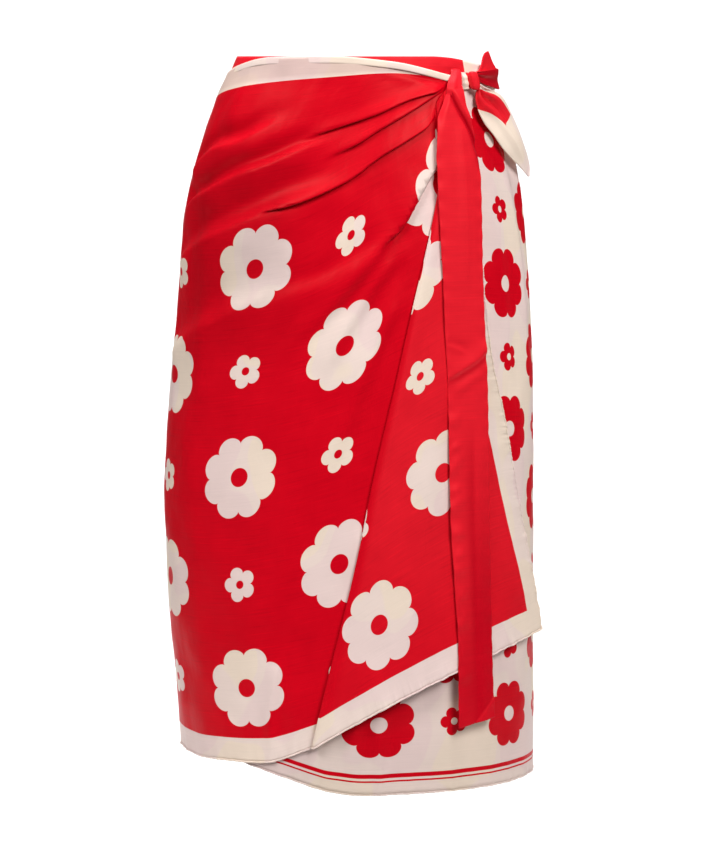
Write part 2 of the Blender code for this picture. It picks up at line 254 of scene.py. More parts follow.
def lay_folds(folds, angle, height, lift, share=1.0):
    """Moves cloth into its folds, in place. A fold runs along its line and fades out at both ends of it."""
    for line, rise, above, below, lap, sink in folds:
        points = smooth_value(np.arange(len(line)), line, np.linspace(0, len(line) - 1, 8 * len(line)))
        points = points * (MM_PER_DEGREE, 1)
        lengths = np.hypot(*np.diff(points, axis=0).T)
        starts = np.concatenate([[0], np.cumsum(lengths)])
        x, z = angle * MM_PER_DEGREE, height.copy()
        nearest, along = np.full(x.shape, 1e9), np.zeros(x.shape)
        to_x, to_z = np.zeros(x.shape), np.zeros(x.shape)
        for first, last, length, start in zip(points[:-1], points[1:], lengths, starts):
            run_x, run_z = (last - first) / length
            part = np.clip((x - first[0]) * run_x + (z - first[1]) * run_z, 0, length)
            away_x, away_z = x - first[0] - part * run_x, z - first[1] - part * run_z
            away = np.hypot(away_x, away_z)
            closer = away < np.abs(nearest)
            beneath = away_z * run_x - away_x * run_z
            nearest = np.where(closer, np.copysign(away, beneath), nearest)
            along = np.where(closer, (start + part) / starts[-1], along)
            to_x, to_z = np.where(closer, -run_z, to_x), np.where(closer, run_x, to_z)
        fade = share * smooth_step(0, 0.14, along) * (1 - smooth_step(0.75 if lap else 0.6, 1, along))
        if lap:
            width = max(lap * 0.82, 2.5)
            pull = fade * lap * (nearest / width) * np.exp(0.5 - 0.5 * (nearest / width) ** 2)
            angle -= pull * to_x / MM_PER_DEGREE
            height -= pull * to_z
            turned = 1 / (1 + np.exp(np.clip(nearest / (0.28 * width), -30, 30)))
        else:
            turned = (nearest < 0).astype(float)
        upper, lower = hump(nearest, above), hump(nearest, below)
        if lap:
            lift += fade * (rise * turned * upper - sink * (1 - turned) * lower)
        else:
            dip = (nearest / below) * np.exp(0.5 - 0.5 * (nearest / below) ** 2) * (nearest > 0)
            lift += fade * (rise * np.where(nearest < 0, upper, lower) - sink * dip)


def unevenness(angle, height, size, seed):
    """Soft uneven waves, from -1 to 1 and about size mm long, the same in each run."""
    x, z = angle * MM_PER_DEGREE / size, height / size
    total = 0
    for turn in range(5):
        way = seed * 1.7 + turn * 1.256
        waves = TURN * (x * math.cos(way) + z * math.sin(way)) * (0.7 + 0.13 * turn)
        total = total + np.sin(waves + seed + turn * 2.1)
    return total / 5


def flat_places(across, down):
    """Where each point of a grid lies on the flat cloth, in millimetres."""
    return np.stack(np.broadcast_arrays(across, down), axis=-1)


def cloth(name, points, flat, material, thick=CLOTH_THICK, painted_light=None):
    """A sheet of cloth from a grid of points. Their flat places become its UV map, in metres.

    A mark of painted light may be given for each point: 1 where the red is painted as lit, below 0 where
    painted shade darkens the cloth.
    """
    rows, across = points.shape[:2]
    grid = bmesh.new()
    bmesh.ops.create_grid(grid, x_segments=across - 1, y_segments=rows - 1, size=1)
    for vert, point in zip(grid.verts, points.reshape(-1, 3)):
        vert.co = point
    bmesh.ops.reverse_faces(grid, faces=grid.faces[:])
    piece = shape_object(name, grid, material)
    mesh = piece.data
    corners = np.empty(len(mesh.loops), int)
    mesh.loops.foreach_get("vertex_index", corners)
    layer = mesh.uv_layers.new(name="cloth")
    layer.data.foreach_set("uv", (flat.reshape(-1, 2)[corners] * MM).astype(np.float32).ravel())
    if painted_light is not None:
        marks = mesh.attributes.new("painted_light", "FLOAT", "POINT")
        marks.data.foreach_set("value", painted_light.ravel().astype(np.float32))
    wall = piece.modifiers.new("Wall", "SOLIDIFY")
    wall.thickness = thick * MM
    wall.offset = 0
    wall.use_quality_normals = True
    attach(piece, "root")
    return piece


def math_node(operation, turned=False):
    """A method that adds one kind of Math node, with its two values the other way round if turned."""
    if turned:
        return lambda self, other: self.maths(operation, other, self)
    return lambda self, other=0.0: self.maths(operation, self, other)


class Shade:
    """A socket of one material's nodes. Arithmetic on it adds Math nodes."""

    def __init__(self, tree, socket=None):
        self.tree, self.socket = tree, socket

    def node(self, kind, settings=(), sockets=(), output=0):
        made = self.tree.nodes.new("ShaderNode" + kind)
        for name, value in dict(settings).items():
            setattr(made, name, value)
        for name, value in dict(sockets).items():
            if isinstance(value, Shade):
                self.tree.links.new(value.socket, made.inputs[name])
            else:
                made.inputs[name].default_value = value
        return Shade(self.tree, made.outputs[output])

    def maths(self, operation, first, second=0.0, clamp=False):
        return self.node("Math", {"operation": operation, "use_clamp": clamp}, {0: first, 1: second})

    __add__ = __radd__ = math_node("ADD")
    __mul__ = __rmul__ = math_node("MULTIPLY")
    __sub__, __rsub__ = math_node("SUBTRACT"), math_node("SUBTRACT", turned=True)
    __truediv__, __pow__ = math_node("DIVIDE"), math_node("POWER")
    least, most = math_node("MINIMUM"), math_node("MAXIMUM")
    sine, size = math_node("SINE"), math_node("ABSOLUTE")
    nearest, fract = math_node("ROUND"), math_node("FRACT")

    def share(self):
        """This, held between 0 and 1."""
        return self.most(0.0).least(1.0)

    def inside(self, soft=0.0004):
        """1 where this is above 0, with an edge as soft as printed ink on cloth."""
        return self.maths("ADD", self / soft, 0.5, clamp=True)

    def mix_value(self, low, high):
        return low + (high - low) * self

    def mix(self, low, high):
        """A colour between two, by this value."""
        return self.node("Mix", {"data_type": "RGBA"}, {0: self, 6: low, 7: high}, output=2)


RED = (0.64, 0.0004, 0.010, 1)
# The same red with painted light, for cloth shown as catching the light.
PAINTED_LIT_RED = (0.78, 0.012, 0.024, 1)
IVORY = (0.85, 0.69, 0.62, 1)
BLUSH = (0.83, 0.64, 0.61, 1)
CREAM = (0.87, 0.72, 0.57, 1)
# Ivory where the red waistband shows through.
BAND_TINT = (0.60, 0.40, 0.36, 1)
# The printed border's width, in metres.
BORDER = 0.024
# Where the border starts to widen, along the top and down the free side, how fast, and by how much at most.
TOP_WIDENS = (0.27, 0.2, 0.014)
SIDE_WIDENS = (0.165, 0.4, BORDER)
# The flowers, in metres: their pitch, the first one's place, the big and the small flower as radius,
# petals, depth of the notches and size of the eye, and the last row.
RED_FLOWERS = (0.106, (0.150, 0.205), (0.042, 8, 0.20, 0.0095), (0.0175, 5, 0.36, 0.0042), 4)
# How far in from the hem and from the free edge the stitches draw the cloth, in metres.
HEM_DRAWN = 0.026
EDGE_DRAWN = 0.015


def flower(du, dv, radius, petals, depth, eye):
    """A round flower with its middle left out: 1 on the petals."""
    away = (du * du + dv * dv) ** 0.5
    lobes = (du.maths("ARCTAN2", dv, du) * (petals / 2)).sine().size()
    outline = radius * (1 - depth + depth * lobes ** 0.6)
    return (outline - away).inside() * (away - eye).inside()


def flower_check(u, v, pitch, start, big, small, last_row):
    """Rows of big and small flowers by turns, as on a draughts board: 1 on the petals."""
    column, row = (u - start[0]) / pitch, (v - start[1]) / pitch
    du, dv = (column - column.nearest()) * pitch, (row - row.nearest()) * pitch
    turn = (((column.nearest() + row.nearest()) * 0.5).fract() - 0.25).inside()
    in_rows = (row.nearest() + 0.5).inside() * (last_row + 0.5 - row.nearest()).inside()
    return turn.mix_value(flower(du, dv, *big), flower(du, dv, *small)) * in_rows


def widening(at, start, slope, limit):
    """How much a border has widened at a place along it."""
    return ((at - start) * slope).most(0.0).least(limit)


def red_print(u, v):
    """Ivory flowers on red, inside a narrow ivory border: 1 where it is ivory."""
    top_border = widening(u, *TOP_WIDENS) + BORDER
    side_border = widening(v, *SIDE_WIDENS)
    inner = (v - top_border).least(CLOTH_LENGTH * MM - BORDER - v)
    inner = inner.least(OVER_WIDTH * MM - side_border - u).inside()
    return flower_check(u, v, *RED_FLOWERS) * inner + (1 - inner)


def cloth_material(
    name, ivory_share, red=RED, painted_light=False, wrinkle=1.0, slubs=0.6, band_below=False, fade=0.0,
):
    """Thin printed cotton and silk: slubs along the weft, soft wrinkles, a slight sheen, uneven ink."""
    made = plain_material(name, red, 0.42)
    tree = made.node_tree
    shader = tree.nodes["Principled BSDF"]
    start = Shade(tree)
    flat = start.node("UVMap", {"uv_map": "cloth"})
    u = start.node("SeparateXYZ", (), {0: flat})
    v = Shade(tree, u.socket.node.outputs[1])

    def grain(wide, tall, detail=2.0, rough=0.5):
        where = start.node("CombineXYZ", (), {0: u / wide, 1: v / tall})
        sizes = {"Vector": where, "Scale": 1.0, "Detail": detail, "Roughness": rough}
        return start.node("TexNoise", (), sizes)

    slub = grain(0.038, 0.0016, 3.0)
    thread = grain(0.0011, 0.006, 1.0)
    patch = grain(0.085, 0.12, 1.0)
    wash = grain(0.03, 0.05, 3.0)
    rumple = grain(0.021, 0.034, 3.0, 0.45)

    # Painted shade: cloth low on the skirt is painted a little darker, and so is cloth whose mark of painted
    # light is below nought; above nought the red is painted lit.
    value = 1 - ((v - 0.3) / 0.4).share() * fade
    if painted_light:
        painted_light_mark = start.node("Attribute", {"attribute_name": "painted_light"}, output=2)
        value = value + painted_light_mark.least(0.0)
        red = painted_light_mark.mix(red, PAINTED_LIT_RED)
    thick_and_thin = (slub - 0.59).most(0.0) - (0.41 - slub).most(0.0)
    tone = (slub - 0.5) * 0.15 + thick_and_thin * slubs + (wash - 0.5) * 0.16 + value
    pale, warm = (patch - 0.53).inside(0.012), (0.46 - patch).inside(0.012)
    ground = (warm * 0.7).mix((pale * 0.75).mix(IVORY, BLUSH), CREAM)
    if band_below:
        ground = ((BAND_HEIGHT * MM - v).inside(0.008) * 0.6).mix(ground, BAND_TINT)
    ink = start.node("HueSaturation", (), {"Value": tone, "Color": red})
    dyed = start.node("HueSaturation", (), {"Value": (tone - value) * 0.3 + value, "Color": ground})
    colour = ivory_share(u, v).mix(ink, dyed)
    tree.links.new(colour.socket, shader.inputs["Base Color"])
    roughness = 0.42 + (slub - 0.5) * 0.12 + (wash - 0.5) * 0.10
    tree.links.new(roughness.socket, shader.inputs["Roughness"])
    shader.inputs["Specular IOR Level"].default_value = 0.17
    shader.inputs["Specular Tint"].default_value = (1, 0.42, 0.36, 1)

    near_hem = ((v - (CLOTH_LENGTH * MM - HEM_DRAWN)) / HEM_DRAWN).share()
    near_hem = near_hem * (0.3 + 0.7 * (u - 0.31).inside(0.06))
    near_edge = ((u - (OVER_WIDTH * MM - EDGE_DRAWN)) / EDGE_DRAWN).share() * (v - 0.03).inside()
    drawn = grain(0.0055, 0.09, 1.0) * near_hem ** 2.5 + grain(0.09, 0.0052, 1.0) * near_edge ** 2.0
    relief = rumple * (1.6 * wrinkle) + slub * 0.10 + thread * 0.04 + drawn * (wash * 8.0)
    bump = start.node("Bump", (), {"Height": relief, "Distance": 0.0011, "Strength": 0.55})
    tree.links.new(bump.socket, shader.inputs["Normal"])
    return made


def band_top(angle):
    """The band dips at the side where the bow pulls it down."""
    reach = np.minimum(np.abs(np.asarray(angle, float) - BAND_DIP_ANGLE) / BAND_DIP_REACH, 1)
    return -BAND_DIP * (1 - reach * reach) ** 2


def hanging_panel(start, end, rows, columns):
    """Angles and heights of a panel that hangs from the band to the hem, and its share of the way down."""
    angles = np.linspace(start, end, columns)
    down = np.linspace(0, CLOTH_LENGTH, rows)
    seam = smooth_value(SEAM_LEVELS["down"], SEAM_LEVELS["height"], down)
    part = (seam - seam[0]) / (seam[-1] - seam[0])
    top = band_top(angles) - BAND_HEIGHT
    hem = smooth_value(HEM["angle"], HEM["height"], angles)
    height = top + part[:, None] * (hem - top)
    angle = np.broadcast_to(angles, height.shape).copy()
    return angle, height, np.broadcast_to(down[:, None], height.shape)


def hem_pucker(across, from_hem, strength=0.45):
    """The rolled hem's stitches draw the cloth into tiny waves just above it, a few of them longer."""
    away = np.maximum(from_hem, 0)
    wave = np.sin(across * (TURN / 13) + 1.3 * np.sin(across / 23.0))
    long_wave = np.maximum(np.sin(across * (TURN / 26) + 2.1 * np.sin(across / 37.0)), 0) ** 2
    return strength * (wave * np.exp(-away / 8.0) + 2.4 * long_wave * np.exp(-away / 18.0))


def hanging_lift(angle, height, across, down, waves, folds, from_seam):
    """How a hanging panel lies: soft waves, puckers at the hem and folds, all held flat at its seam."""
    (long_wave, long_seed), (short_wave, short_seed) = waves
    lift = 0.5 * unevenness(angle, height, long_wave, long_seed)
    lift = lift + 0.35 * unevenness(angle, height, short_wave, short_seed)
    lift += hem_pucker(across, CLOTH_LENGTH - down)
    lay_folds(folds, angle, height, lift)
    return lift * smooth_step(0, 12, from_seam) - SEAM_SINK * hump(from_seam, SEAM_REACH)


def back_panel():
    angle, height, down = hanging_panel(RIGHT_SEAM, LEFT_SEAM + 360, BACK_ROWS, BACK_COLUMNS)
    across = (angle - RIGHT_SEAM) / (LEFT_SEAM + 360 - RIGHT_SEAM) * BACK_WIDTH
    from_seam = np.minimum(across, BACK_WIDTH - across)
    lift = hanging_lift(angle, height, across, down, BACK_WAVES, BACK_FOLDS, from_seam)
    points = place(angle, height, lift)
    flat = flat_places(across - BACK_WIDTH, down)
    piece = cloth("back_panel", points, flat, cloth_material("back_cloth", red_print))
    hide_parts("back")
    return piece, points, flat


def edge_path(points, flat, spacing):
    """Even steps along a panel's edge: distance, place, flat place, the way ahead and the way out."""
    lengths = np.concatenate([[0], np.cumsum(np.linalg.norm(np.diff(points, axis=0), axis=1))])
    at = np.linspace(0, lengths[-1], int(lengths[-1] / (spacing * MM)) + 1)
    path = np.stack([np.interp(at, lengths, points[:, i]) for i in range(3)], axis=-1)
    print_at = np.stack([np.interp(at, lengths, flat[:, i]) for i in range(2)], axis=-1)
    ahead = np.gradient(path, axis=0)
    ahead /= np.linalg.norm(ahead, axis=1)[:, None]
    out = path * (1, 1, 0)
    out -= ahead * np.sum(out * ahead, axis=1)[:, None]
    out /= np.linalg.norm(out, axis=1)[:, None]
    return at / MM, path, print_at, ahead, out


def rolled_hem(name, points, flat, panel):
    """The cloth's edge rolled to a thin cord and pinched by a stitch every few millimetres."""
    along, path, print_at, ahead, out = edge_path(points, flat, HEM_STEP)
    side = np.cross(ahead, out)
    turn = np.linspace(0, 2 * np.pi, HEM_SIDES + 1)
    from_stitch = (along + STITCH_PITCH / 2) % STITCH_PITCH - STITCH_PITCH / 2
    pinch = 1 - 0.16 * hump(from_stitch, 0.9)
    radius = HEM_RADIUS * pinch * (1 + 0.07 * np.sin(along / 17) + 0.05 * np.sin(along / 5.3 + 1))
    spoke = np.cos(turn)[None, :, None] * out[:, None] + np.sin(turn)[None, :, None] * side[:, None]
    rings = path[:, None] + spoke * radius[:, None, None] * MM
    roll = bmesh.new()
    bmesh.ops.create_grid(roll, x_segments=HEM_SIDES, y_segments=len(path) - 1, size=1)
    layer = roll.loops.layers.uv.new("cloth")
    roll.verts.index_update()
    for vert, place_at in zip(roll.verts, rings.reshape(-1, 3)):
        vert.co = place_at
    for face in roll.faces:
        for loop in face.loops:
            loop[layer].uv = print_at[loop.vert.index // (HEM_SIDES + 1)] * MM
    bmesh.ops.remove_doubles(roll, verts=roll.verts[:], dist=1e-6)
    bmesh.ops.holes_fill(roll, edges=[e for e in roll.edges if e.is_boundary], sides=0)
    bmesh.ops.recalc_face_normals(roll, faces=roll.faces[:])
    piece = shape_object(name, roll, panel.data.materials[0])
    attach(piece, "root")
    return piece


def hem_stitches(name, points, flat):
    """Slanting stitches that hold a rolled hem, each a thin bead of thread over the roll."""
    _, path, _, ahead, out = edge_path(points, flat, STITCH_PITCH)
    size = Matrix.Diagonal([half * MM for half in STITCH_HALF] + [1])
    beads = bmesh.new()
    for middle, way, outward in zip(path[1:-1], ahead[1:-1], out[1:-1]):
        slant = way * 0.8 + np.cross(way, outward) * 0.6
        turned = Matrix((slant, np.cross(outward, slant), outward)).transposed().to_4x4()
        where = Matrix.Translation(middle + outward * HEM_RADIUS * MM)
        bmesh.ops.create_icosphere(beads, subdivisions=1, radius=1, matrix=where @ turned @ size)
    bmesh.ops.recalc_face_normals(beads, faces=beads.faces[:])
    piece = shape_object(name, beads, thread)
    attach(piece, "root")
    return piece


def sew_hem(name, points, flat, panel):
    """The rolled hem along a panel's edge, and the stitches that hold it."""
    return rolled_hem(name + "_hem", points, flat, panel), hem_stitches(name + "_stitches", points, flat)


def thread_material():
    made = plain_material("sewing_thread", (0.80, 0.70, 0.64, 1), 0.42)
    tree = made.node_tree
    where = Shade(tree).node("TexCoord", output=3)
    twist = Shade(tree).node("TexNoise", (), {"Vector": where, "Scale": 2600.0, "Detail": 1.0})
    bump = Shade(tree).node("Bump", (), {"Height": twist, "Distance": 0.0001, "Strength": 0.6})
    tree.links.new(bump.socket, tree.nodes["Principled BSDF"].inputs["Normal"])
    return made


back_piece, back_points, back_flat = back_panel()
thread = thread_material()
back_hem, back_stitches = sew_hem("back", back_points[-1], back_flat[-1], back_piece)

# ---- under panel ----
# The front width that lies next to the body, from the right seam round under the over panel to its
# own hemmed edge at the left, printed with red flowers on ivory. It shows at the right and below the hem.

UNDER_EDGE = -55.0
UNDER_ROWS, UNDER_COLUMNS = 150, 116
UNDER_WIDTH = 410.0
UNDER_WAVES = ((84, 5), (37, 2))
# Its free edge is hemmed from this row down.
UNDER_HEM_ROW = 8
IVORY_FLOWERS = (0.072, (0.025, 0.058), (0.0345, 8, 0.2, 0.0078), (0.0145, 5, 0.36, 0.0036), 8)
# Half width of each printed line and its height above the hem, in metres.
HEM_LINES = ((0.0022, 0.019), (0.0009, 0.0135))
UNDER_FOLDS = (
    (((58, -44), (65, -120), (72, -230), (75, -340)), 2.2, 13, 10, 0, 1.2),
    (((66, -40), (78, -110), (86, -200)), 1.8, 10, 8, 0, 1.0),
    (((52, -46), (54, -150), (57, -300), (58, -420)), 1.6, 12, 11, 0, 0.9),
    (((63, -300), (66, -500), (68, -748)), 1.8, 22, 20, 0, 0.6),
    (((-4, -560), (-2.3, -690), (0.4, -756)), 2.6, 8, 9, 0, 1.4),
    (((5, -600), (5.6, -700), (7.2, -756)), 2.0, 7, 8, 0, 1.2),
    (((-9, -600), (-11, -700), (-13, -752)), 1.8, 9, 9, 0, 1.0),
    (((26, -560), (29, -690), (31, -756)), 2.2, 15, 13, 0, 0.8),
    (((45, -560), (46, -690), (48, -756)), 1.8, 14, 15, 0, 0.7),
)


def ivory_print(u, v):
    """Small red flowers on ivory, with two red lines above the hem: 1 where it is ivory."""
    above_hem = CLOTH_LENGTH * MM - v
    broad, fine = ((half - (above_hem - height).size()).inside() for half, height in HEM_LINES)
    return 1 - flower_check(u, v, *IVORY_FLOWERS).most(broad.most(fine))


def under_panel():
    angle, height, down = hanging_panel(UNDER_EDGE, RIGHT_SEAM, UNDER_ROWS, UNDER_COLUMNS)
    across = (angle - UNDER_EDGE) / (RIGHT_SEAM - UNDER_EDGE) * UNDER_WIDTH
    lift = hanging_lift(angle, height, across, down, UNDER_WAVES, UNDER_FOLDS, UNDER_WIDTH - across)
    # It lies close to the body where the over panel covers it.
    covered = (1 - smooth_step(20, 40, angle)) * smooth_step(-690, -640, height)
    lift -= 4.6 * covered * smooth_step(20, 60, down)
    points = place(angle, height, lift)
    flat = flat_places(across, down)
    # Painted shade darkens it towards the hem.
    piece = cloth("under_panel", points, flat, cloth_material("under_cloth", ivory_print, fade=0.22))
    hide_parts("under_front")
    return piece, points, flat


under_piece, under_points, under_flat = under_panel()
# From the waist down the free edge and along the hem.
under_edge, under_edge_flat = (
    np.concatenate([grid[UNDER_HEM_ROW:, 0], grid[-1, 1:]]) for grid in (under_points, under_flat)
)
under_hem, under_stitches = sew_hem("under", under_edge, under_edge_flat, under_piece)

# ---- waistband ----
# A doubled strip of the same cloth round the waist, joined where the over panel hides it. Its ends run
# on as the ties. It is red at the front and ivory at the sides.

BAND_JOIN = -57.0
BAND_LENGTH = 700.0
BAND_ROWS, BAND_COLUMNS = 10, 260
BAND_THICK = 1.1
# Middle and half length of the ivory at each side, along the band in metres.
BAND_IVORY = ((0.262, 0.052), (0.619, 0.0285))
BAND_FOLDS = (
    (((57, -18), (64, -17), (74, -17), (92, -20)), 1.2, 3.5, 3, 0, 0.7),
    (((60, -27), (76, -28), (100, -26)), 1.0, 3.5, 3, 0, 0.6),
    (((50, -12), (44, -10), (34, -11)), 0.7, 4, 4, 0, 0.5),
)


def band_print(u, v):
    """Ivory at each side, between the red of the front and of the back: 1 where it is ivory."""
    right, left = ((half - (u - middle).size()).inside() for middle, half in BAND_IVORY)
    return right + left


def waistband_strip():
    angles = np.linspace(BAND_JOIN, BAND_JOIN + 360, BAND_COLUMNS)
    part = np.linspace(0, 1, BAND_ROWS)[:, None]
    height = band_top(angles) - part * (BAND_HEIGHT - 0.3)
    angle = np.broadcast_to(angles, height.shape).copy()
    lift = 0.45 * np.sin(np.pi * part) + 0.25 * unevenness(angle, height, 26, 4)
    lay_folds(BAND_FOLDS, angle, height, lift)
    flat = flat_places((angle - BAND_JOIN) / 360 * BAND_LENGTH, part * BAND_HEIGHT)
    # Its red is painted lit.
    material = cloth_material("band_cloth", band_print, red=PAINTED_LIT_RED, wrinkle=0.6)
    piece = cloth("waistband_strip", place(angle, height, lift), flat, material, BAND_THICK)
    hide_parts("waistband")


waistband_strip()

# ---- over panel ----
# The outer front width, from the left seam across to the knot at the right. Its top corner is drawn
# into the knot, so that creases fan out from there, and a deep pleat lets its free edge fall as a flap.

OVER_LIFT = 3.6
BAND_CLEAR = 2.6
PLEAT_LAYER = 2.0
PLEAT_TURN = 0.35
# Columns of the pleat's two hidden layers and of its two turns.
PLEAT_COLUMNS = (5, 5, 5, 7)
CORNER_FLARE = 1.0
HEM_BOW = 24.0
MAIN_COLUMNS = 112
FLAP_COLUMNS = 76
# Distances down from the top edge at which the panel's rows lie.
OVER_LEVELS = np.concatenate([
    np.arange(0, 185, 2.5), np.arange(185, 560, 5.2), np.linspace(560, CLOTH_LENGTH, 42),
])
# The hem up the flap's edge stops short of this row, at the knot.
OVER_HEM_ROW = 3

# The panel left of its pleat: heights at six places from the left seam to the pleat, by distance down
# from the top edge, and the pleat's angle.
OVER_MAIN = {
    "down": (0, 50, 100, 145, 220, 300, 400, 560, 705),
    "seam": (-24.5, -70, -117, -158, -234, -312, -410, -568, -710),
    "fifth": (-10, -61, -112, -155, -232, -311, -410, -568, -712.5),
    "two_fifths": (-1.4, -53, -104, -151, -229, -307, -408, -570, -714),
    "three_fifths": (-0.4, -43, -90, -139, -219, -297, -400, -567, -711.5),
    "four_fifths": (-5.5, -29, -59, -99, -183, -274, -381, -555.5, -709),
    "pleat": (-19, -24.5, -32, -61, -147, -238.5, -353.5, -539, -690),
    "angle": (40, 40, 37, 29, 26.5, 17.3, 9.2, -3.5, -14.2),
}
OVER_FLAP = {
    "down": (0, 50, 100, 150, 243, 346, 413, 490, 580, 705),
    "fold_angle": (40.5, 41, 38, 35.6, 26.6, 16.8, 10.6, 3.8, -2.8, -14.2),
    "fold_height": (-19, -24.5, -30, -36, -140, -247.5, -328, -420, -528, -690),
    "edge_angle": (45, 46, 45, 43, 42.3, 43.2, 45, 51.8, 60.4, 76.5),
    "edge_height": (-19, -24, -29, -34, -122, -219, -286, -363, -453, -586),
    "hidden": (1.2, 1.2, 1.5, 2, 6, 9, 9, 9, 8, 2.6),
}
OVER_FOLDS = (
    # creases that fan out from the knot
    (((37, -27.5), (27, -22), (18, -17), (7.6, -13)), -1.2, 3, 4, 0, -0.6),
    (
        ((38, -27), (36.8, -30), (19, -42.6), (6.2, -56.2), (-3.5, -65), (-11.8, -72.8), (-24, -86)),
        3.0, 8, 6, 2.0, 2.0,
    ),
    (
        ((38, -31), (25.7, -45.6), (15.5, -59.2), (6, -72.8), (-2.6, -87.4), (-14, -103)),
        3.0, 9, 9, 1.5, 2.3,
    ),
    (
        ((34, -54), (17.6, -78.7), (5.7, -97.1), (-5.4, -120.6), (-16.8, -137.4), (-26, -148), (-40, -160)),
        4.0, 14, 9, 7.0, 2.6,
    ),
    # ridges and hollows from the left hip
    (
        ((-84, -124), (-73, -104), (-62.6, -92.2), (-48.8, -85.5), (-37.7, -72.3), (-26, -57)),
        4.0, 34, 9, 0, 6.0,
    ),
    (
        ((-86, -164), (-71, -143), (-58.6, -132.8), (-44.8, -117), (-33.2, -106.6), (-20, -90), (-2, -72)),
        2.9, 18, 9, 0, 7.0,
    ),
    (
        ((-87, -216), (-74, -200), (-61.5, -186), (-48.8, -173.8), (-37, -161), (-18, -138), (8, -108)),
        3.0, 24, 14, 0, 5.5,
    ),
    (((-87, -306), (-68.8, -285), (-46.9, -259.5), (-31, -236), (-14, -212)), 3.4, 24, 20, 0, 5.5),
    # the second lip, the hollow beyond it and the creases that run down from it
    (
        ((33, -84), (29, -99.6), (25.2, -113), (22.2, -124.8), (17.9, -144), (13, -167), (4, -194)),
        4.4, 13, 9, 7.5, 2.6,
    ),
    (
        ((16, -160), (10.7, -170.5), (0, -189), (-9.5, -207), (-21.9, -224), (-40, -246)),
        -2.0, 12, 12, 0, -2.0,
    ),
    (
        ((14, -160), (12, -166), (5.3, -191), (-2.3, -219.6), (-9.4, -246.4), (-24, -292)),
        2.6, 10, 8, 0, 2.8,
    ),
    (((12, -190), (9.9, -201), (3.3, -228.5), (-3.5, -263), (-9, -300), (-14, -330)), 2.2, 8, 8, 0, 2.4),
    (((12, -236), (5.8, -278), (0, -322), (-4.7, -367), (-9, -410)), 2.0, 9, 9, 0, 2.0),
    # soft long folds lower down
    (((-2, -330), (-16, -430), (-27, -560), (-33, -690)), 2.2, 26, 24, 0, 1.2),
    (((-60, -330), (-66, -480), (-70, -650)), 2.0, 24, 26, 0, 0.9),
    (((-24, -600), (-28, -664), (-26.5, -720)), 2.2, 7, 6, 0, 1.4),
)
FLAP_FOLDS = (
    (((40, -60), (36, -110), (31, -190), (27, -270)), 1.6, 7, 6, 0, 1.2),
    (((34, -250), (24, -380), (18, -520), (12, -660)), 2.0, 20, 18, 0, 1.0),
    (((46, -360), (56, -470), (66, -600)), 1.6, 14, 16, 0, 0.8),
)


def over_main():
    """Angle, height and lift of the main part at each level, from the left seam to the pleat."""
    names = ("seam", "fifth", "two_fifths", "three_fifths", "four_fifths", "pleat")
    heights = np.array([smooth_value(OVER_MAIN["down"], OVER_MAIN[name], OVER_LEVELS) for name in names])
    part = np.linspace(0, 1, MAIN_COLUMNS)
    height = smooth_value(np.linspace(0, 1, len(names)), heights, part).T
    end = smooth_value(OVER_MAIN["down"], OVER_MAIN["angle"], OVER_LEVELS)[:, None]
    angle = LEFT_SEAM + part * (end - LEFT_SEAM)
    over_under = OVER_LIFT * smooth_step(-68, -54, angle)
    over_band = BAND_CLEAR * smooth_step(LEFT_SEAM, LEFT_SEAM + 4, angle) * smooth_step(-52, -26, height)
    return angle, height, np.maximum(over_under, over_band)


def over_flap(main_end):
    """The pleat's two hidden layers, then the flap, as columns that follow the main part's last one."""
    end_angle, end_height, base = main_end
    hidden, fold_angle, fold_height, edge_angle, edge_height = (
        smooth_value(OVER_FLAP["down"], OVER_FLAP[name], OVER_LEVELS)
        for name in ("hidden", "fold_angle", "fold_height", "edge_angle", "edge_height")
    )
    bow = HEM_BOW * smooth_step(150, 705, OVER_LEVELS)
    low = smooth_step(560, 705, OVER_LEVELS)
    pressed = 0.3 + 0.7 * smooth_step(30, 110, OVER_LEVELS)
    layer = (PLEAT_LAYER + 1.3 * low) * pressed

    def flap_height(part):
        return fold_height + part * (edge_height - fold_height) + bow * 4 * part * (1 - part)

    turn_angle = end_angle + hidden
    turn_part = np.maximum(turn_angle - fold_angle, 0) / (edge_angle - fold_angle)
    turn_height = end_height + (0.5 + 0.55 * low) * (flap_height(turn_part) - end_height)
    stations = [(end_angle, end_height, base)]
    for part in (0.5, 1):
        stations.append((end_angle + hidden * part, end_height + part * (turn_height - end_height), base))
    stations.append((turn_angle + PLEAT_TURN, turn_height, base + layer / 2))
    for part in (0, 0.5, 1):
        back_to = turn_angle + part * (fold_angle - turn_angle)
        stations.append((back_to, turn_height + part * (fold_height - turn_height), base + layer))
    stations.append((fold_angle - PLEAT_TURN * (1 + low), fold_height, base + 1.5 * layer))
    stations.append((fold_angle, flap_height(0.0), base + 2 * layer))
    wanted = np.concatenate([
        np.linspace(2 * turn, 2 * turn + 2, count + 1)[1:] for turn, count in enumerate(PLEAT_COLUMNS)
    ])
    hidden_part = smooth_value(np.arange(len(stations)), np.array(stations), wanted)
    part = np.linspace(0, 1, FLAP_COLUMNS)[1:, None]
    flare = CORNER_FLARE * smooth_step(500, 705, OVER_LEVELS)
    from_fold = part * (edge_angle - fold_angle)
    roll = 1.4 * np.exp(-from_fold / 2.2) * (from_fold / 2.2) * 2.7
    top = base + 2 * layer + flare * part * part + roll * pressed
    flap = np.stack([fold_angle + from_fold, flap_height(part), top], axis=1)
    return np.concatenate([hidden_part, flap]).transpose(1, 2, 0)


def row_lengths(points):
    """Distance along each row of points from its first, in millimetres."""
    steps = np.linalg.norm(np.diff(points, axis=1), axis=2) / MM
    return np.concatenate([np.zeros((len(points), 1)), np.cumsum(steps, axis=1)], axis=1)


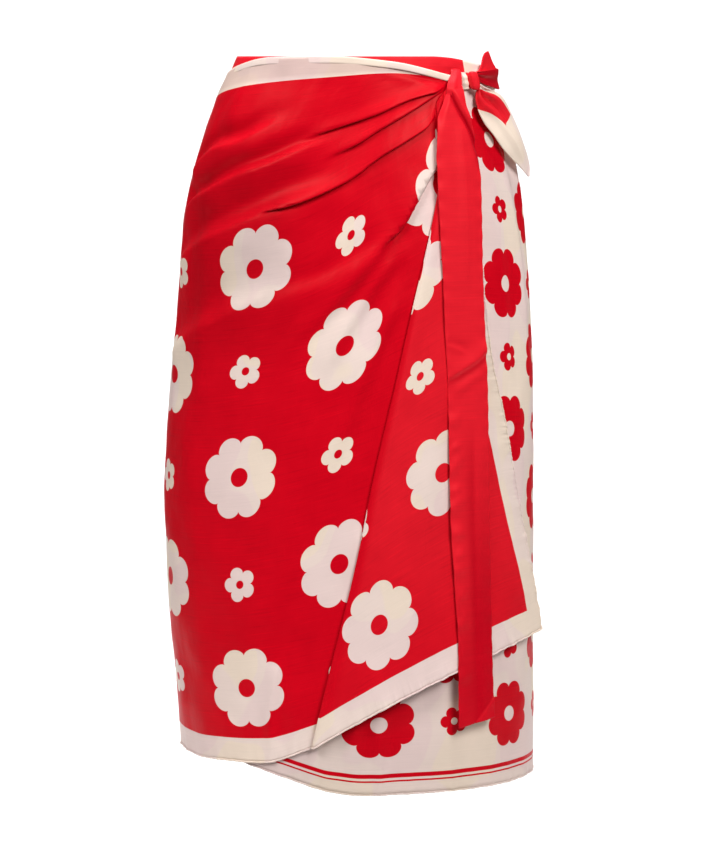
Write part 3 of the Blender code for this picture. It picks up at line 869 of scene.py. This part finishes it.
def over_panel():
    main = over_main()
    turned = over_flap([values[:, -1] for values in main])
    angle, height, lift = (np.concatenate(pair, axis=1) for pair in zip(main, turned))

    lengths = row_lengths(place(angle, height, lift))
    columns = np.arange(angle.shape[1])
    pleat = MAIN_COLUMNS - 1
    fold = len(columns) - FLAP_COLUMNS
    flap_across = OVER_WIDTH - (lengths[:, -1:] - lengths)
    share = np.clip((columns - pleat) / (fold - pleat), 0, 1)
    across = lengths * (1 - share) + flap_across * share
    down = np.broadcast_to(OVER_LEVELS[:, None], across.shape)

    on_main = (1 - smooth_step(pleat - 4, pleat + 6, columns))[None, :]
    on_flap = smooth_step(fold, fold + 5, columns)[None, :]
    lay_folds(OVER_FOLDS, angle, height, lift, on_main)
    lay_folds(FLAP_FOLDS, angle, height, lift, on_flap)
    loose = np.maximum(on_main * smooth_step(0, 14, across), on_flap)
    waves = (0.55 + 0.5 * on_main) * unevenness(angle, height, 76, 1)
    lift += loose * (waves + 0.35 * unevenness(angle, height, 33, 6))
    lift += hem_pucker(across, CLOTH_LENGTH - down, 0.7) * np.maximum(0.45 * on_main, on_flap)
    lift += hem_pucker(down, OVER_WIDTH - across, 0.35) * on_flap
    lift -= SEAM_SINK * hump(across, SEAM_REACH) * on_main
    points = place(angle, height, lift)
    flat = flat_places(across, down)
    # Painted light on the flap, fading lower down, and painted shade over the left hip; painted shade also
    # darkens the panel a little towards the hem.
    painted_hip_shade = smooth_step(-78, -60, angle) * smooth_step(-14, -30, angle)
    painted_hip_shade = painted_hip_shade * smooth_step(-330, -250, height) * smooth_step(-70, -110, height)
    painted_light = on_flap * (0.8 - 0.55 * smooth_step(-420, -640, height)) - 0.13 * painted_hip_shade
    material = cloth_material("over_cloth", red_print, painted_light=True, band_below=True, fade=0.07)
    piece = cloth("over_panel", points, flat, material, painted_light=painted_light)
    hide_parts("over_front")
    return piece, points, flat


over_piece, over_points, over_flat = over_panel()
# Along the hem to the free corner, then up the flap's edge to the knot.
over_edge, over_edge_flat = (
    np.concatenate([grid[-1], grid[-2:OVER_HEM_ROW:-1, -1]]) for grid in (over_points, over_flat)
)
over_hem, over_stitches = sew_hem("over", over_edge, over_edge_flat, over_piece)

TOP_STRIP = {"from": -96.0, "to": 41.0, "tall": 6.0, "thick": 0.5, "columns": 210}
TOP_STRIP_ROWS = (
    # share of the way down the strip, distance out from the panel in millimetres
    (0.34, -0.9), (0.10, -1.0), (-0.06, -0.5), (-0.09, 0.2), (-0.04, 0.8), (0.08, 1.05), (0.3, 1.05),
    (0.55, 1.1), (0.8, 1.1), (0.94, 1.0), (1.0, 0.6), (1.0, 0.3),
)


def plain_ivory(u, v):
    return u * 0 + 1


def top_strip():
    """The over panel's top edge, turned over to the outside and pressed into a narrow strip."""
    angles = np.linspace(TOP_STRIP["from"], TOP_STRIP["to"], TOP_STRIP["columns"])
    edge_angle, edge_height, edge_lift = (values[0] for values in over_main())
    top = np.interp(angles, edge_angle, edge_height)
    out = np.interp(angles, edge_angle, edge_lift)
    loose = 0.35 + 0.65 * smooth_step(-20, 12, angles)
    end_lift = 0.5 * smooth_step(34, 41, angles)
    narrowed = smooth_step(TOP_STRIP["from"], TOP_STRIP["from"] + 26, angles)
    tall = TOP_STRIP["tall"] * (0.55 + 0.45 * narrowed)
    share, away = np.array(TOP_STRIP_ROWS).T[:, :, None]
    rise = away * loose + end_lift + 0.2 * np.sin(angles / 3.1) * share * loose
    points = place(angles, top - share * tall, out + rise)
    flat = flat_places((angles - LEFT_SEAM) * 2.05, np.linspace(0, 13, len(share))[:, None])
    material = cloth_material("strip_cloth", plain_ivory, wrinkle=0.5)
    piece = cloth("top_strip", points, flat, material, TOP_STRIP["thick"])
    return piece


top_strip()

# ---- long tie ----
# A flat tube of plain red cloth, sewn, turned and pressed. It hangs from the knot almost to the hem,
# creased about half way down and puckered below that, and its end is cut on a slant and turned up.

TIE = {
    "height": (
        -29, -35.6, -40, -48, -55, -62, -82, -101, -141,
        -181, -218, -268, -329, -453, -535, -591, -668,
    ),
    "left": (
        36.8, 36, 34.5, 32.4, 30.6, 29.3, 27.7, 26.6, 26.2,
        26.3, 26.7, 27, 27.7, 28.5, 30.1, 31.1, 31.1,
    ),
    "right": (
        43.9, 43.5, 43.3, 43.3, 43.5, 43.7, 44.6, 44.4, 43.5,
        42.7, 42.2, 42.3, 43, 43.5, 44, 44.2, 44.8,
    ),
    "lift": (
        10.8, 13, 13.2, 13.4, 13.5, 13.4, 13, 12.6, 12,
        11.4, 10.9, 10.5, 10.3, 10.4, 11, 12.4, 14,
    ),
}
TIE_SLANT = 8.0
TIE_THICK = 1.1
TIE_WIDTH = 43.0
TIE_ROWS, TIE_COLUMNS = 420, 60
# The turned-up corner at the tie's end: a line through these two places, as angle and height.
TIE_CORNER = ((37.3, -668), (44.5, -643))
TIE_PUCKERS = (
    # height, slope, depth, half height
    (-362, 0.5, 0.7, 7), (-388, 0.2, 1.1, 5), (-407, 0.6, 1.3, 8), (-431, 0.3, 0.8, 5), (-447, 0.5, 1.2, 9),
    (-475, 0.2, 1.2, 7), (-499, 0.5, 0.9, 6), (-512, 0.3, 1.1, 9), (-541, 0.5, 0.7, 6), (-566, 0.3, 0.9, 8),
    (-597, 0.4, 0.5, 6), (-622, 0.4, 0.6, 8),
)
TIE_FOLDS = (
    (
        (
            (36, -28), (36.9, -32), (38.3, -43), (40.1, -55),
            (42.3, -66.5), (43.8, -78), (44.6, -92), (45, -125),
        ),
        -3.4, 3.6, 3.6, 0, -2.6,
    ),
    (((39, -60), (38, -90), (37, -150), (35.5, -250)), 1.0, 7, 7, 0, 0.4),
    (
        ((47, -284), (43, -290), (38.4, -300), (34.6, -306), (30.8, -312), (27, -317), (21, -322)),
        1.7, 9, 4.5, 0, 1.3,
    ),
    (((42, -314), (37, -320), (31, -331), (27, -335)), 0.5, 5, 4, 0, 0.4),
    (((26.5, -284), (31, -288), (36, -297)), 0.4, 5, 5, 0, 0.5),
    (
        ((37, -350), (37, -370), (37.2, -440), (37.8, -560), (38.4, -668), (39, -900)),
        -0.7, 12, 5.5, 0, -0.7,
    ),
)
SHADED_RED = (0.49, 0.0001, 0.009, 1)


def plain_print(u, v):
    return u * 0


def strip_grid(table, rows, columns):
    """Heights, shares of the way across, angles and lifts over a strip whose edges a table gives."""
    heights = np.linspace(table["height"][0], table["height"][-1], rows)[:, None]
    upward = {name: values[::-1] for name, values in table.items()}
    left, right, out = (
        smooth_value(upward["height"], upward[name], heights) for name in ("left", "right", "lift")
    )
    part = np.linspace(0, 1, columns)
    return heights, part, left + part * (right - left), out


def tie_strip():
    heights, part, angle, out = strip_grid(TIE, TIE_ROWS, TIE_COLUMNS)
    across = part * TIE_WIDTH
    slant = TIE_SLANT * smooth_step(560, 668, -heights)
    height = heights + slant * (part - 0.5)
    edge = np.minimum(part, 1 - part) * TIE_WIDTH
    lift = out + 0.3 * np.cos(part * 2 * np.pi) + 0.25 * unevenness(angle, height, 34, 9)
    lift += 0.45 * np.sin(height * (TURN / 19) + 3 * part + np.sin(height / 31)) * np.exp(-edge / 5.0)
    lift -= 3.0 * hump(across, 5) * (1 - smooth_step(48, 80, -height))
    for middle, slope, deep, half in TIE_PUCKERS:
        away = height - middle - slope * part * TIE_WIDTH
        lift += 1.5 * deep * hump(away, half) * hump(across - 6, half + 1)
    (low_angle, low_height), (high_angle, high_height) = TIE_CORNER
    corner = low_height + (angle - low_angle) / (high_angle - low_angle) * (high_height - low_height)
    turned_up = smooth_step(0, 1.6, corner - height) * smooth_step(low_angle - 0.5, low_angle + 0.5, angle)
    lift += 1.1 * turned_up
    before = lift.copy()
    lay_folds(TIE_FOLDS, angle, height, lift)
    # Painted shade in the creases and towards the bottom, more on the right, and painted light on the
    # turned-up corner.
    creased = np.clip((before - lift) / 1.6, 0, 1)
    left_painted_shade, right_painted_shade = 0.8 * smooth_step(-470, -650, height), 0.95 * smooth_step(-320, -600, height)
    fade = left_painted_shade + (right_painted_shade - left_painted_shade) * smooth_step(0.34, 0.58, part)
    painted_light = np.maximum((1 - 0.9 * creased) * (1 - fade), 0.3 * turned_up)
    flat = flat_places(across, heights[0] - heights)
    piece = cloth("tie_strip", place(angle, height, lift), flat, tie_cloth, TIE_THICK, painted_light)
    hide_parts("tie_long")


# The tie's red is painted shaded, and painted lit where its mark of painted light is high.
tie_cloth = cloth_material("tie_cloth", plain_print, red=SHADED_RED, painted_light=True, wrinkle=0.8, slubs=0.2)
tie_strip()

# ---- knot of the long tie ----
# The over panel's corner and the tie are drawn together here. The tie comes up out of the waistband as a
# flat fold, thickens over the panel's gathers and falls away, all in the same red cloth.

KNOT_WRAP = {
    "height": (-4, -8, -12, -16, -20, -24, -28, -32, -38.5),
    "left": (43.0, 42.8, 42.4, 41.4, 39.8, 38.0, 36.7, 35.9, 35.6),
    "right": (48.4, 48.2, 47.8, 47.3, 46.4, 45.2, 44.1, 43.5, 43.0),
    "lift": (-1.2, -0.7, 0.7, 3.9, 6.9, 9.5, 11.4, 12.3, 10.4),
}
KNOT_ROWS, KNOT_COLUMNS = 52, 34
RIBBON_THICK = 1.0


def knot_wrap():
    heights, part, angle, out = strip_grid(KNOT_WRAP, KNOT_ROWS, KNOT_COLUMNS)
    depth = smooth_step(10, 26, -heights)
    round_over = (0.5 + 1.3 * depth) * np.abs(2 * part - 1) ** 4
    pleats = 0.5 * depth * np.cos(part * TURN * 1.6 + 0.3 - heights / 15)
    lift = out - round_over + pleats * np.sin(np.pi * part) ** 0.5
    flat = flat_places(part * 18, heights[0] - heights)
    # The whole knot is painted lit.
    painted_light = np.ones(lift.shape)
    piece = cloth("knot_wrap", place(angle, heights, lift), flat, tie_cloth, RIBBON_THICK, painted_light)
    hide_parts("tie_knot")


knot_wrap()

# ---- link to the bow ----
# The waistband's other end, which comes out behind the knot and runs to the bow in long folds. Its
# print turns from ivory to red on the way.

LINK = {"from": 44.6, "to": 51.6, "top": (-15.5, -16.0), "bottom": (-33.0, -32.0)}
LINK_ROWS, LINK_COLUMNS = 30, 34
# How far along the link its print turns red, in metres, and the slant of that line.
LINK_RED, LINK_SLANT = 0.0135, 0.05


def link_print(u, v):
    """Ivory, then red: 1 where it is ivory."""
    return (LINK_RED - u + v * LINK_SLANT).inside()


def link_ribbon():
    across = np.linspace(0, 1, LINK_COLUMNS)
    down = np.linspace(0, 1, LINK_ROWS)[:, None]
    top, bottom = (start + across * (end - start) for start, end in (LINK["top"], LINK["bottom"]))
    angle = LINK["from"] + across * (LINK["to"] - LINK["from"])
    height = top + down * (bottom - top)
    folds = 0.45 * np.cos(down * TURN * 2.6 + across * 1.4 + 0.6) * (0.5 + 0.5 * across)
    lift = 1.0 + smooth_step(0.24, 0.58, across) * (3.0 + 1.5 * np.sin(np.pi * down) + folds)
    flat = flat_places(across * 18, down * 22)
    # Its red is painted lit.
    material = cloth_material("link_cloth", link_print, red=PAINTED_LIT_RED, wrinkle=0.7)
    piece = cloth("link_ribbon", place(angle, height, lift), flat, material, BAND_THICK)
    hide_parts("belt_link")


link_ribbon()

# ---- bow ----
# A half bow: a wrapped knot, one loop of the tie that stands out from the side, and a short tail with
# a pointed end that falls behind the hip. The same cloth, red on the loop and mostly ivory on the tail.

LOOP = (
    # angle, lift, top, bottom
    (55.3, 10.5, -15, -22.5),
    (57.5, 12, -14.6, -25),
    (62, 13.3, -13.8, -28.3),
    (67.5, 14, -12.8, -30.5),
    (72.5, 13.3, -12.3, -32.5),
    (76, 11, -12.6, -33),
    (77.6, 8.6, -11.6, -32),
    (75, 6.8, -4, -30),
    (72, 6.3, 5.2, -28.5),
    (68, 6, 3.5, -27),
    (65, 6, -0.5, -26),
    (61.5, 6, -9.5, -24.5),
    (58.5, 6, -14.5, -23.5),
    (55.3, 6, -16, -22.5),
)
# The loop turns back after this row of its table.
LOOP_TURN = 6
TAIL = (
    # angle, height, lift of the upper edge, then of the lower edge
    (55.7, -27.6, 9, 54.0, -34.3, 8),
    (59, -30.8, 9.5, 52, -44, 7.8),
    (63.5, -32.8, 9.8, 51.4, -54.5, 7.5),
    (69, -36, 10.2, 53, -64.5, 7.5),
    (75, -44, 11, 57, -76.5, 8),
    (81, -56, 11.8, 61, -91, 8.5),
    (85.5, -74, 12.5, 66, -101, 9.3),
    (88.5, -95, 12.5, 72, -109, 10.5),
    (86, -109, 12.4, 76.5, -115.5, 11.2),
    (82, -121, 12, 80.2, -120.4, 11.8),
)
# The tail's stripe, in metres: its two edges, how far from the knot it ends, and the slant of that end.
STRIPE = {"top": 0.0045, "bottom": 0.029, "end": 0.060, "slant": 0.3}
LOOP_COLUMNS, LOOP_ROWS, LOOP_MIDDLE_ROW = 130, 30, 15
TAIL_COLUMNS, TAIL_ROWS, TAIL_MIDDLE_ROW = 110, 34, 16
# Middle and half sizes as angle, height and lift.
BOW_KNOT = {"middle": (52.5, -24, 9), "half": (2.6, 9.3, 4.6)}
# Half length and half width of the cloth that wraps the knot, in metres.
BOW_KNOT_FLAT = (0.008, 0.014)


def ribbon_stations(table, count):
    """A table's columns, on smooth curves between its rows."""
    return smooth_value(np.arange(len(table)), table, np.linspace(0, len(table) - 1, count)).T


def bow_loop_ribbon():
    angle, out, top, bottom = ribbon_stations(LOOP, LOOP_COLUMNS)
    down = np.linspace(0, 1, LOOP_ROWS)[:, None]
    height = top + down * (bottom - top)
    lengths = row_lengths(place(angle, height, out))[LOOP_MIDDLE_ROW]
    from_knot = np.minimum(lengths, lengths[-1] - lengths)
    gathers = 1.1 * np.exp(-from_knot / 10) * np.cos(down * TURN * 2.5 + 0.8)
    outer = np.sign(LOOP_TURN + 0.5 - np.linspace(0, len(LOOP) - 1, LOOP_COLUMNS))
    hollow = np.where(outer > 0, np.maximum(out - 7.4, 0), 0) * smooth_step(0.05, 0.75, down)
    lift = out + gathers * outer - hollow
    # Painted shade on the loop's front layer, painted light on its back.
    painted_light = np.where(outer > 0, 0.15, 1.0) + 0 * height
    flat = flat_places(lengths, down * 27)
    piece = cloth("bow_loop_ribbon", place(angle, height, lift), flat, tie_cloth, RIBBON_THICK, painted_light)
    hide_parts("bow_loop")


def tail_print(u, v):
    """Ivory with a broad red stripe that ends on a slant a little way from the knot."""
    stripe = (v - STRIPE["top"]).least(STRIPE["bottom"] - v)
    return 1 - stripe.least(STRIPE["end"] - u - v * STRIPE["slant"]).inside()


def bow_tail_ribbon():
    stations = ribbon_stations(TAIL, TAIL_COLUMNS)
    upper, lower = stations[:3], stations[3:]
    down = np.linspace(0, 1, TAIL_ROWS)[:, None]
    angle, height, out = (high + down * (low - high) for high, low in zip(upper, lower))
    lengths = row_lengths(place(angle, height, out))[TAIL_MIDDLE_ROW]
    gathers = 2.6 * hump(lengths - 10, 16) * np.cos(down * TURN * 2.6 + 0.4 + lengths / 12)
    crease = 3.0 * hump(down - 0.56 - lengths / 700, 0.09) * hump(lengths - 52, 34)
    crease -= 2.6 * hump(down - 0.30 - lengths / 500, 0.07) * hump(lengths - 26, 20)
    wave = 1.1 * np.sin(down * 3.6 + lengths / 13) * smooth_step(10, 50, lengths)
    wide = np.linalg.norm(place(*upper) - place(*lower), axis=1) / MM
    flat = flat_places(lengths, down * wide)
    # Its red is painted lit.
    material = cloth_material("tail_cloth", tail_print, red=PAINTED_LIT_RED, wrinkle=0.8)
    points = place(angle, height, out + gathers + crease + wave)
    piece = cloth("bow_tail_ribbon", points, flat, material, RIBBON_THICK)
    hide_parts("bow_tail")


def bow_knot_wrap():
    """The tie's one turn round the bow: a small barrel with pleats along the turn."""
    middle, half = BOW_KNOT["middle"], BOW_KNOT["half"]
    ball = bmesh.new()
    bmesh.ops.create_uvsphere(ball, u_segments=40, v_segments=28, radius=1)
    layer = ball.loops.layers.uv.new("cloth")
    for face in ball.faces:
        for loop in face.loops:
            unit = loop.vert.co
            loop[layer].uv = (unit.x * BOW_KNOT_FLAT[0], unit.z * BOW_KNOT_FLAT[1])
    for vert in ball.verts:
        around, up, out = (math.copysign(abs(c) ** 0.75, c) for c in (vert.co.x, vert.co.z, vert.co.y))
        size = max((abs(around) ** 3 + abs(up) ** 3 + abs(out) ** 3) ** (1 / 3), 0.001)
        around, up, out = around / size, up / size, out / size
        pleat = 1 + 0.10 * math.cos(around * 8.5 + 0.7) * (1 - up * up)
        waist = 1 - 0.12 * (1 - up * up)
        angle = middle[0] + half[0] * around * waist
        height = middle[1] + half[1] * up * (0.94 + 0.06 * pleat)
        vert.co = place(angle, height, middle[2] + half[2] * out * pleat)
    if ball.calc_volume(signed=True) < 0:
        bmesh.ops.reverse_faces(ball, faces=ball.faces[:])
    # Its red is painted lit.
    material = cloth_material("bow_knot_cloth", plain_print, red=PAINTED_LIT_RED, wrinkle=0.8)
    piece = shape_object("bow_knot_wrap", ball, material)
    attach(piece, "root")
    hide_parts("bow_knot")


bow_loop_ribbon()
bow_tail_ribbon()
bow_knot_wrap()
